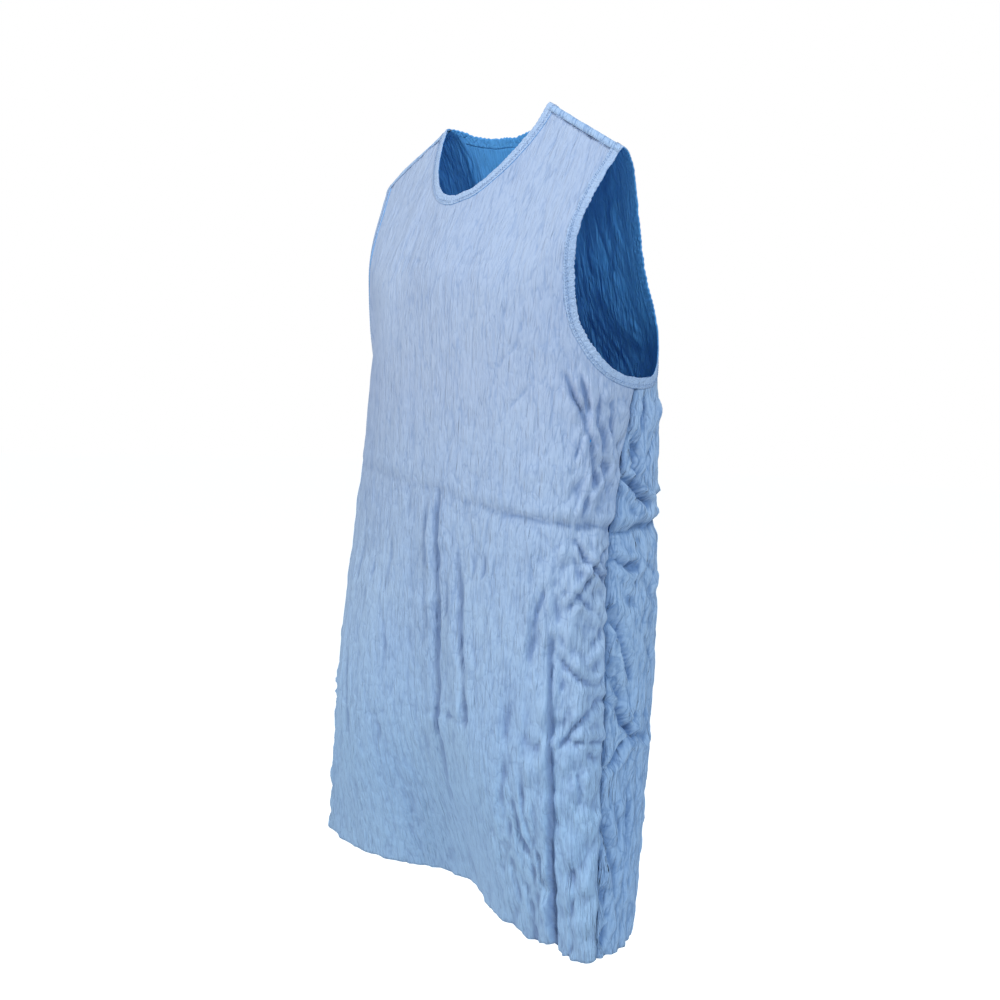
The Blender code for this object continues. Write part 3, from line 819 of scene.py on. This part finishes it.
def relief_front(s, v, to_seam, to_bound, under_arm):
    fade = ease(to_bound, 0.003, 0.022)
    lean = -0.22 * np.maximum(v + 0.52, 0) * ease(s, 0.02, 0.20) + 0.03 * v * ease(-s, 0.05, 0.2)
    edges = ease(to_seam, 0.0, 0.006)
    rough = 0.62 + 0.45 * ease(-v, 0.40, 0.52) + 0.30 * ease(s, 0.12, 0.22)
    height = crinkle(s, v, 11, lean) * rough * edges * (0.10 + 0.90 * fade)
    height += soft_waves(s, v, 21) * fade * ease(to_seam, 0.0, 0.05)
    bent_s, bent_v = bent(s, v, 401)
    creases = np.zeros(s.shape)
    for points, depth, width in FRONT_VALLEYS:
        creases += valley(bent_s, bent_v, points, 1.35 * depth, 0.9 * width)
    for points, depth, width in SIDE_VALLEYS:
        creases += valley(bent_s, bent_v, points, 1.25 * depth, 0.75 * width) * edges
        creases += valley(*mirror_side(bent_s, bent_v), points, depth, 0.75 * width) * edges
    height += creases * fade * uneven(s, v, 411)
    ledge, ends = crease_distance(bent_s, bent_v, PACKING_CREASE)
    strong = 0.45 + 1.45 * ease(s, 0.04, 0.26)
    above = -0.0042 * np.exp(-np.abs(ledge - 0.004) / (0.006 + 0.004 * (ledge > 0.004)))
    sharp = 0.0020 * np.exp(-(((ledge + 0.009) / 0.008) ** 2)) + above
    height += ends * fade * strong * sharp * (0.8 + 0.2 * noise(s / 0.035, 0 * s, 45))
    grown = ease(-v, 0.56, 0.76) * 0.75 + 0.25 * ease(-v, 0.80, 1.0)
    height += grown * step(s, v, PLEAT_LINE, 0.0090, 0.016)
    height += 0.0060 * grown * bump_at(s, 0.250, 0.026)
    height += grown * valley(s, v, PLEAT_LINE, 0.0050, 0.0030)
    height += side_relief(s, v, to_seam, 31) * fade
    patches = ease(noise(s / 0.10, v / 0.13, 41), 0.0, 0.6) * ease(-v, 0.42, 0.60) * ease(s, 0.05, 0.20)
    patches += 1.5 * ease(s, 0.185, 0.225) * ease(-v, 0.50, 0.54) * (1 - ease(-v, 0.80, 0.88))
    patches += 1.2 * ease(s, 0.195, 0.235) * ease(-v, 0.33, 0.37) * (1 - ease(-v, 0.46, 0.52))
    facets = 0.0030 * crumple(s, v, 0.034, 42) + 0.0016 * crumple(s, v, 0.019, 48)
    height += facets * patches * fade * edges
    gathers = np.exp(-to_bound / 0.030) * under_arm
    folds = pleat(s / 0.0160 + 0.7 * noise(s / 0.02, v / 0.03, 43))
    height += 0.0012 * gathers * folds * edges * ease(to_bound, 0.0, 0.010)
    return height - 0.009 * bump_at(v, -0.275, 0.055) * ease(-s, 0.10, 0.20) * fade


def relief_back(s, v, to_seam, to_bound, z, under_arm):
    fade = ease(to_bound, 0.003, 0.022)
    calm = 0.30 + 0.70 * ease(-v, 0.015, 0.06)
    edges = ease(to_seam, 0.0, 0.006)
    rough = 0.75 + 0.30 * ease(np.abs(s), 0.15, 0.28)
    height = crinkle(s, v, 111, 0.02 * v) * rough * calm * edges * (0.10 + 0.90 * fade)
    height += soft_waves(s, v, 121) * fade * ease(to_seam, 0.0, 0.05) * ease(-v, 0.03, 0.12)
    bent_s, bent_z = bent(s, z, 431)
    creases = np.zeros(s.shape)
    for points, depth, width in BACK_VALLEYS:
        creases += valley(bent_s, bent_z, points, 1.2 * depth, 0.9 * width)
        creases += valley(*mirror_side(bent_s, bent_z), points, 0.9 * depth, 0.9 * width)
    from_seam = to_seam + (bent_s - s)
    for points, depth, width in SEAM_FOLDS:
        creases += valley(from_seam, bent_z, points, 1.9 * depth, width) * (s > 0)
        creases += valley(from_seam, bent_z + 0.021, points, depth, width) * (s < 0)
    height += creases * fade * edges * uneven(s, z, 441)
    ledge, ends = crease_distance(bent_s, bent_z, BACK_PACKING_CREASE)
    outer = ease(np.abs(s), 0.10, 0.25)
    above = np.exp(-np.abs(ledge - 0.006) / (0.007 + 0.006 * (ledge > 0.006)))
    rim = 0.5 * np.exp(-(((ledge + 0.010) / 0.009) ** 2)) - above
    height += ends * (0.0028 + 0.0062 * outer) * rim * edges
    height += 0.75 * side_relief(s, z, to_seam, 131) * fade
    patches = ease(noise(s / 0.10, v / 0.14, 141), 0.0, 0.6) * ease(-v, 0.15, 0.40)
    patches += 0.9 * ease(np.abs(s), 0.22, 0.29) * ease(-v, 0.33, 0.38)
    facets = 0.0024 * crumple(s, v, 0.034, 142) + 0.0015 * crumple(s, v, 0.018, 148)
    height += facets * patches * fade * edges
    gathers = np.exp(-to_bound / 0.030) * under_arm
    folds = pleat(s / 0.0160 + 0.6 * noise(s / 0.02, v / 0.03, 143))
    return height + 0.0012 * gathers * folds * edges * ease(to_bound, 0.0, 0.008)


# ---------------------------------------------------------------- building the pieces
def stands_for(made, node):
    """Puts a visual piece in the place of a CAD node, on the one body."""
    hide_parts(node)
    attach(made, "root")
    return made


def add_mesh(name, points, faces, looks):
    data = bpy.data.meshes.new(name)
    data.from_pydata(np.asarray(points).reshape(-1, 3).tolist(), [], faces)
    data.validate()
    for look in looks:
        data.materials.append(look)
    data.shade_smooth()
    place = data.attributes.new("cloth_place", "FLOAT_VECTOR", "POINT")
    place.data.foreach_set("vector", np.asarray(points, dtype=float).ravel())
    made = bpy.data.objects.new(name, data)
    bpy.context.scene.collection.objects.link(made)
    return made


def grid_faces(rows, columns, turned=False):
    faces = []
    for i in range(rows - 1):
        for j in range(columns - 1):
            a = i * columns + j
            quad = (a, a + 1, a + columns + 1, a + columns)
            faces.append(quad[::-1] if turned else quad)
    return faces


NECK_SPOTS, NECK_NORMALS, NECK_RUN = neck_loop()
ARM_RINGS = {side: armhole_ring(side) for side in ("left", "right")}


def bound_distance(points):
    to_neck = distance_to(points, NECK_SPOTS[::4])
    to_left = distance_to(points, ARM_RINGS["left"][0][::4])
    to_right = distance_to(points, ARM_RINGS["right"][0][::4])
    return np.minimum(to_neck, np.minimum(to_left, to_right))


def seam_distance(points, below):
    """Distance along each row from the side seam, for the rows below the underarm."""
    run = arc_from_centre(points)
    half = np.abs(run[:, -1:])
    return np.where(below, half - np.abs(run), 1.0)


def painted_fold_shade(height):
    """Share of painted shade: 0 on even cloth, rising to 1 in the bottom of each fold."""
    mean = height
    for axis, reach in ((0, 4), (1, 6)):
        window = np.hanning(2 * reach + 1)
        window /= window.sum()
        soften = lambda line: np.convolve(np.pad(line, reach, mode="edge"), window, "valid")
        mean = np.apply_along_axis(soften, axis, mean)
    return np.clip((mean - height) / 0.0022, 0, 1)


def cloth_panel(name, points, straight, painted_shade_share, turned, look):
    rows, columns = points.shape[:2]
    made = add_mesh(name, points, grid_faces(rows, columns, turned), (look, CREPE_INSIDE_PAINTED_LIGHT))
    made.data.attributes["cloth_place"].data.foreach_set("vector", straight.ravel())
    # the share of painted shade in folds and along seams, kept on each point for the material to darken
    painted_shade_store = made.data.attributes.new("painted_shade", "FLOAT", "POINT")
    painted_shade_store.data.foreach_set("value", painted_shade_share.ravel())
    thicken = made.modifiers.new("thickness", "SOLIDIFY")
    thicken.thickness = CLOTH
    thicken.offset = -1.0
    # the inner faces take the inside look, with its painted light and shade
    thicken.material_offset = 1
    thicken.material_offset_rim = 0
    return made


def panel_parts(base, outward, z):
    """Normals, distance around, distances from the seam and the bindings, and share of underarm."""
    to_seam = seam_distance(base, z < -UNDERARM_DROP - 0.002)
    to_bound = np.maximum(bound_distance(base) - BINDING_WIDTH, 0)
    under_arm = ease(np.abs(base[..., 0]), 0.190, 0.208) * ease(-z, 0.300, 0.330)
    return grid_normals(base, outward), arc_from_centre(base), to_seam, to_bound, under_arm


def at_seam(z, s, to_seam, valley_scale):
    """Relief that both panels share along the side seam."""
    wobble = seam_wobble(z) * np.exp(-to_seam / 0.03)
    return (wobble + seam_valley(z, to_seam / valley_scale, s > 0)) * ease(-z, 0.335, 0.375)


# painted shade along a line: a side seam, a shoulder seam or the pleat
def painted_line_shade(distance, width):
    return np.exp(-((distance / width) ** 2))


def build_front():
    around, z = front_grid(FRONT_COLUMNS, FRONT_ROWS)
    base = front_point(around, z)
    normals, s, to_seam, to_bound, under_arm = panel_parts(base, 1.0, z)
    height = relief_front(s, z, to_seam, to_bound, under_arm)
    height = height + at_seam(z, s, to_seam, 1.0)
    points = base + normals * height[..., None]
    points[..., 2] -= (hem_hang(s, to_seam, 71) + pleat_hang(s)) * ease(-z, 0.90, 1.0)
    to_pleat, ends = crease_distance(s, z, PLEAT_LINE)
    x = np.abs(base[..., 0])
    to_shoulder = np.where(x > SEAM_NECK_X, seam_z(x) - z, 1.0)
    # painted shade along the pleat, the shoulder seams and the side seam, added to painted shade in the fold
    # bottoms
    lines = (0.8 * ends * painted_line_shade(to_pleat, 0.0022), 0.6 * painted_line_shade(to_shoulder, 0.0022))
    painted_shade_share = np.maximum.reduce([painted_fold_shade(height), *lines, painted_line_shade(to_seam, 0.0024)])
    straight = front_point(around, np.full_like(z, LEVEL_SECTION))
    straight[..., 2] = z
    return base, points, normals, painted_shade_share, straight


def build_back():
    around, drop = back_grid(BACK_COLUMNS, BACK_ROWS)
    base = back_point(around, drop)
    z = base[..., 2]
    normals, s, to_seam, to_bound, under_arm = panel_parts(base, -1.0, z)
    v = np.where(drop < 0.3, -LENGTH * 0.9 * np.abs(drop) ** 1.5, z)
    height = relief_back(s, v, to_seam, to_bound, z, under_arm)
    height = height + at_seam(z, s, to_seam, 1.5)
    over = ease(0.02 - drop, 0.0, 0.04)
    points = base + normals * (height + 0.0012 * over)[..., None]
    points[..., 2] -= hem_hang(s, to_seam, 81) * ease(-z, 0.90, 1.0)
    # painted shade in the fold bottoms and along the side seam
    painted_shade_share = np.maximum(painted_fold_shade(height), painted_line_shade(to_seam, 0.0026))
    straight = back_point(around, np.full_like(drop, math.sqrt(-LEVEL_SECTION / LENGTH)))
    straight[..., 2] = -LENGTH * drop * np.abs(drop)
    return base, points, normals, painted_shade_share, straight


FRONT_BASE, FRONT_POINTS, FRONT_NORMALS, FRONT_PAINTED_SHADE, FRONT_STRAIGHT = build_front()
BACK_BASE, BACK_POINTS, BACK_NORMALS, BACK_PAINTED_SHADE, BACK_STRAIGHT = build_back()
front_cloth = cloth_panel("front_cloth", FRONT_POINTS, FRONT_STRAIGHT, FRONT_PAINTED_SHADE, True, CREPE_FRONT)
back_cloth = cloth_panel("back_cloth", BACK_POINTS, BACK_STRAIGHT, BACK_PAINTED_SHADE, False, CREPE_BACK)


CLOSE = [bound_distance(points) < NEAR_EDGE for points in (FRONT_BASE, BACK_BASE)]
EDGE_CLOTH = np.vstack([FRONT_BASE[CLOSE[0]], BACK_BASE[CLOSE[1]]])
EDGE_NORMALS = np.vstack([FRONT_NORMALS[CLOSE[0]], BACK_NORMALS[CLOSE[1]]])


def laid_on_cloth(points):
    """Moves points square to the cloth, on to its even hanging shape."""
    laid = points.copy()
    for k, spot in enumerate(points):
        nearest = int(((EDGE_CLOTH - spot) ** 2).sum(axis=1).argmin())
        normal = EDGE_NORMALS[nearest]
        laid[k] += normal * ((EDGE_CLOTH[nearest] - spot) @ normal)
    return laid


def binding_section(width, thick):
    """Outline of the folded strip: (distance in from the fold, height over the cloth), going round."""
    half = thick / 2
    outline = []
    for k in range(7):
        angle = math.pi / 2 + k * math.pi / 6
        outline.append((half + half * math.cos(angle), half * math.sin(angle)))
    for share in (0.2, 0.4, 0.55, 0.7, 0.85, 1.0):
        outline.append((half + (width - half) * share, -half * (1.0 if share < 0.9 else 0.6)))
    for share in (1.0, 0.85, 0.7, 0.55, 0.4, 0.2):
        outline.append((half + (width - half) * share, half * (1.0 if share < 0.9 else 0.6)))
    return outline


def build_binding(name, spots, normals, run, towards, seed, node):
    """A folded strip round an edge, puckered by its stitching."""
    inward = into_cloth(spots, normals, towards)
    section = binding_section(BINDING_WIDTH, 0.0022)
    count = len(spots)
    pucker = pleat(run / 0.0072 + 0.9 * noise(run / 0.02, 0 * run, seed))
    strong = 0.35 + 0.65 * ease(noise(run / 0.045, 0 * run, seed + 1), -0.3, 0.5)
    wander = 0.0007 * noise(run / 0.016, 0 * run, seed + 2)
    edge = 0.0007 * pucker * strong + 0.0009 * noise(run / 0.011, 0 * run, seed + 3) - 0.0013
    insets = (0.0, 0.4 * BINDING_WIDTH, BINDING_WIDTH)
    laid = [spots] + [laid_on_cloth(spots + inward * inset) for inset in insets[1:]]
    dips = [((line - spots) * normals).sum(axis=1) for line in laid]
    points = np.zeros((count, len(section), 3))
    for j, (inset, lift) in enumerate(section):
        slanted = pleat(run / 0.0072 + 0.9 * noise(run / 0.02, 0 * run, seed) + 22.0 * inset)
        puff = 1.0 + 0.50 * strong * slanted * math.sin(min(inset / BINDING_WIDTH, 1.0) * math.pi)
        groove = 1.0 - 0.40 * math.exp(-(((inset - 0.0080) / 0.0010) ** 2))
        shift = edge * (1 - inset / BINDING_WIDTH) + wander * inset / BINDING_WIDTH
        dip = np.array([np.interp(inset, insets, column) for column in zip(*dips)])
        rise = lift * puff * groove + dip
        points[:, j] = spots + inward * (inset + shift)[:, None] + normals * rise[:, None]
    size = len(section)
    faces = []
    for i in range(count):
        after = (i + 1) % count
        for j in range(size):
            nxt = (j + 1) % size
            faces.append((i * size + j, i * size + nxt, after * size + nxt, after * size + j))
    made = add_mesh(name, points, faces, (BINDING_LOOK, CREPE_INSIDE_PAINTED_LIGHT))
    # the binding's inner leg takes the inside look, with its painted light and shade
    inner = [1 if 3 <= k % size <= 12 else 0 for k in range(len(faces))]
    made.data.polygons.foreach_set("material_index", inner)
    return stands_for(made, node), inward


def stitch_row(name, path, normals, length, pitch, node):
    """Separate stitches along a path: each is a short run of thread that dips into the cloth at its ends."""
    ring, rings = 6, 5
    run = np.concatenate([[0], np.cumsum(np.linalg.norm(np.diff(path, axis=0), axis=1))])
    points, faces = [], []
    for k in range(int(run[-1] / pitch)):
        at = (k + 0.5) * pitch + 0.0002 * math.sin(k * 2.3)
        places = at + np.linspace(-0.5, 0.5, rings) * length
        centre = np.stack([np.interp(places, run, path[:, c]) for c in range(3)], axis=1)
        up = np.stack([np.interp(places, run, normals[:, c]) for c in range(3)], axis=1)
        up /= np.linalg.norm(up, axis=1, keepdims=True)
        ahead = np.gradient(centre, axis=0)
        ahead /= np.linalg.norm(ahead, axis=1, keepdims=True)
        sideways = np.cross(ahead, up)
        arch = np.sin(np.linspace(0, math.pi, rings))
        first = len(points)
        for i in range(rings):
            middle = centre[i] + up[i] * (0.45 * STITCH_THICK * arch[i] - 0.25 * STITCH_THICK)
            radius = STITCH_THICK / 2 * (0.55 + 0.45 * arch[i])
            for j in range(ring):
                turn = 2 * math.pi * j / ring
                points.append(middle + radius * (math.cos(turn) * sideways[i] + math.sin(turn) * up[i]))
        for i in range(rings - 1):
            for j in range(ring):
                a, b = first + i * ring + j, first + i * ring + (j + 1) % ring
                faces.append((a, b, b + ring, a + ring))
        faces.append(tuple(first + j for j in range(ring))[::-1])
        faces.append(tuple(first + (rings - 1) * ring + j for j in range(ring)))
    return stands_for(add_mesh(name, points, faces, (THREAD_LOOK,)), node)


def closed_path(path, normals):
    return np.vstack([path, path[:1]]), np.vstack([normals, normals[:1]])


def bound_loop(label, spots, normals, run, towards, seed):
    name = f"{label}_bound_edge"
    made, inward = build_binding(name, spots, normals, run, towards, seed, f"{label}_binding")
    pieces = [made]
    for row, inset, length in (("inner", 0.0094, 0.0024), ("outer", 0.0074, 0.0027)):
        path, ups = closed_path(laid_on_cloth(spots + inward * inset) + normals * 0.00115, normals)
        name = f"{label}_{row}_stitches"
        pieces.append(stitch_row(name, path, ups, length, STITCH_PITCH, f"{label}_stitching_{row}"))
    return pieces


neck_pieces = bound_loop("neck", NECK_SPOTS, NECK_NORMALS, NECK_RUN, (0, 0, -1), 201)
arm_pieces = []
for side, seed in (("left", 221), ("right", 241)):
    arm_pieces += bound_loop(f"{side}_armhole", *ARM_RINGS[side], (0, 0, -1), seed)


def nearest_on(path, base, points, normals):
    """Places and normals of the finished cloth nearest to points of the even hanging shape."""
    flat = base.reshape(-1, 3)
    found = [int(((flat - spot) ** 2).sum(axis=1).argmin()) for spot in path]
    return points.reshape(-1, 3)[found], normals.reshape(-1, 3)[found]


def ribbon(name, top, low, thickness_way, node):
    """A folded strip of cloth between two lines, closed all round."""
    half = thickness_way * TURNED_EDGE_THICK / 2
    rows = np.stack([top + half, top - half, low - half, low + half], axis=1)
    count = len(rows)
    faces = [(0, 1, 2, 3), tuple(4 * (count - 1) + j for j in (3, 2, 1, 0))]
    for i in range(count - 1):
        for j in range(4):
            k = (j + 1) % 4
            faces.append((4 * i + j, 4 * i + 4 + j, 4 * i + 4 + k, 4 * i + k))
    # the turned-in allowance takes the inside look, with its painted light and shade
    return stands_for(add_mesh(name, rows, faces, (CREPE_INSIDE_PAINTED_LIGHT,)), node)


def side_seam(side, column):
    """The turned-in allowance, which stands inwards from the seam, and the seam's own stitches."""
    sign = 1.0 if side == "left" else -1.0
    line = FRONT_POINTS[:, column]
    line = line[line[:, 2] < -UNDERARM_DROP - 0.014]
    fine = np.linspace(0, len(line) - 1, 4 * len(line))
    line = np.stack([np.interp(fine, np.arange(len(line)), line[:, c]) for c in range(3)], axis=1)
    z = line[:, 2]
    inset = np.array((-sign, 0.0, 0.0))
    wave = 0.0011 * pleat(z / 0.017 + noise(z / 0.05, 0 * z, 301)) + 0.0008 * noise(z / 0.03, 0 * z, 302)
    width = 0.0092 + 0.0006 * noise(z / 0.012, 0 * z, 303)
    top = line + inset * 0.0007
    low = line + inset * width[:, None] + np.stack([0 * z, wave, 0 * z], axis=1)
    fore = np.tile((0.0, 1.0, 0.0), (len(line), 1))
    node = f"{side}_side_seam_allowance"
    made = ribbon(f"{side}_side_turned_edge", top, low, fore, node)
    middle = top * 0.62 + low * 0.38
    path = middle + fore * 0.0009
    name = f"{side}_side_stitches"
    row = stitch_row(name, path, fore, 0.0030, 0.0040, f"{side}_side_seam_stitching")
    return [made, row]


def shoulder_seam(side):
    sign = 1.0 if side == "left" else -1.0
    x = np.linspace(SEAM_NECK_X + 0.011, SHOULDER_HALF - 0.011, 90)
    z = seam_z(x) - 0.0028
    path = front_point(around_of(x, z, FRONT_SQUARE), z)
    path[:, 0] *= sign
    place, normal = nearest_on(path, FRONT_BASE, FRONT_POINTS, FRONT_NORMALS)
    offset = ((place - path) * normal).sum(axis=1)
    offset = np.convolve(np.pad(offset, 4, mode="edge"), np.ones(9) / 9, mode="valid")
    path = path + normal * (offset + 0.0008)[:, None]
    name = f"{side}_shoulder_stitches"
    row = stitch_row(name, path, normal, 0.0027, STITCH_PITCH, f"{side}_shoulder_topstitching")
    up = np.stack([0 * x, -normal[:, 2], normal[:, 1]], axis=1)
    up *= np.sign(up[:, 2:3])
    below = path - normal * 0.0022
    width = 0.0045 + 0.0004 * noise(x / 0.008, 0 * x, 311)
    top = below + up * (0.0028 + width)[:, None]
    low = below + up * (0.0028 - width)[:, None]
    node = f"{side}_shoulder_seam_allowance"
    made = ribbon(f"{side}_shoulder_turned_edge", top, low, normal, node)
    return [made, row]


seam_pieces = side_seam("left", -1) + side_seam("right", 0)
for side in ("left", "right"):
    seam_pieces += shoulder_seam(side)

stands_for(front_cloth, "front_panel")
stands_for(back_cloth, "back_panel")


# ---------------------------------------------------------------- stage, lights and camera
def studio_white():
    """Matt white, lifted for camera rays only, so that the floor runs into the backdrop."""
    look = Look("studio_white")
    place = look.add("TexCoord").outputs["Object"]
    grain = look.ranged(look.noise(place, 40.0, (1, 1, 1), 3.0), 0.3, 0.7, 0, 1)
    white = (0.90, 0.90, 0.90)
    look.put(look.sockets["Base Color"], look.mixed(grain, white, tuple(c * 0.985 for c in white)))
    look.put(look.sockets["Roughness"], 0.9)
    look.put(look.sockets["Emission Color"], (1.0, 1.0, 1.0, 1.0))
    seen_share = look.add("LightPath").outputs["Is Camera Ray"]
    look.put(look.sockets["Emission Strength"], look.combined("MULTIPLY", seen_share, 0.60))
    return look.made


floor = add_mesh(
    "studio_floor",
    [(-30, -30, -1.55), (30, -30, -1.55), (30, 30, -1.55), (-30, 30, -1.55)],
    [(0, 1, 2, 3)],
    (studio_white(),),
)


def area_light(name, place, target, size, power, colour):
    data = bpy.data.lights.new(name, "AREA")
    data.shape = "RECTANGLE"
    data.size, data.size_y = size
    data.energy = power
    data.color = colour
    made = bpy.data.objects.new(name, data)
    bpy.context.scene.collection.objects.link(made)
    made.location = place
    made.rotation_euler = (Vector(target) - Vector(place)).to_track_quat("-Z", "Y").to_euler()
    return made


area_light("key", (-0.7, -2.7, 1.5), (0, 0, -0.40), (0.6, 0.7), 58, (1.0, 0.97, 0.92))
area_light("fill", (2.2, -0.8, 1.3), (0.1, 0, -0.55), (0.5, 0.5), 40, (0.84, 0.94, 1.0))

world = bpy.data.worlds.new("studio")
world.use_nodes = True
world_nodes, world_links = world.node_tree.nodes, world.node_tree.links
backdrop = world_nodes["Background"]
backdrop.inputs["Color"].default_value = (0.78, 0.90, 1.0, 1.0)
backdrop.inputs["Strength"].default_value = 0.56
seen = world_nodes.new("ShaderNodeBackground")
seen.inputs["Color"].default_value = (1.0, 1.0, 1.0, 1.0)
seen.inputs["Strength"].default_value = 1.0
chosen = world_nodes.new("ShaderNodeMixShader")
camera_rays = world_nodes.new("ShaderNodeLightPath").outputs["Is Camera Ray"]
world_links.new(camera_rays, chosen.inputs["Fac"])
world_links.new(backdrop.outputs[0], chosen.inputs[1])
world_links.new(seen.outputs[0], chosen.inputs[2])
world_links.new(chosen.outputs[0], world_nodes["World Output"].inputs["Surface"])
bpy.context.scene.world = world
bpy.context.scene.view_settings.view_transform = "Standard"

AZIMUTH, PITCH, ROLL = math.radians(46.68), math.radians(3.62), math.radians(2.23)
view_way = Vector(
    (-math.sin(AZIMUTH) * math.cos(PITCH), math.cos(AZIMUTH) * math.cos(PITCH), -math.sin(PITCH))
)
level_right = Vector((math.cos(AZIMUTH), math.sin(AZIMUTH), 0.0))
level_up = level_right.cross(view_way)
right_way = math.cos(ROLL) * level_right + math.sin(ROLL) * level_up
up_way = -math.sin(ROLL) * level_right + math.cos(ROLL) * level_up
lens = bpy.data.cameras.new("camera")
lens.sensor_fit = "HORIZONTAL"
lens.sensor_width = 36.0
lens.lens = 39.6
camera = bpy.data.objects.new("camera", lens)
bpy.context.scene.collection.objects.link(camera)
turn = Matrix((right_way, up_way, -view_way)).transposed()
camera.matrix_world = Matrix.Translation((1.0656, -0.9752, -0.4015)) @ turn.to_4x4()
bpy.context.scene.camera = camera


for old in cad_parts.values():
    assert old.hide_render


def settle(made):
    """The far shoulder stands a little wider and higher than the near one."""
    data = made.data
    places = np.empty(len(data.vertices) * 3)
    data.vertices.foreach_get("co", places)
    places = places.reshape(-1, 3)
    share = ease(-places[:, 0], 0.08, 0.20) * ease(places[:, 2], -0.34, -0.12)
    places[:, 0] -= 0.010 * share
    places[:, 2] += 0.009 * share
    data.vertices.foreach_set("co", places.reshape(-1))
    data.update()


for piece in (front_cloth, back_cloth, *neck_pieces, *arm_pieces, *seam_pieces):
    settle(piece)
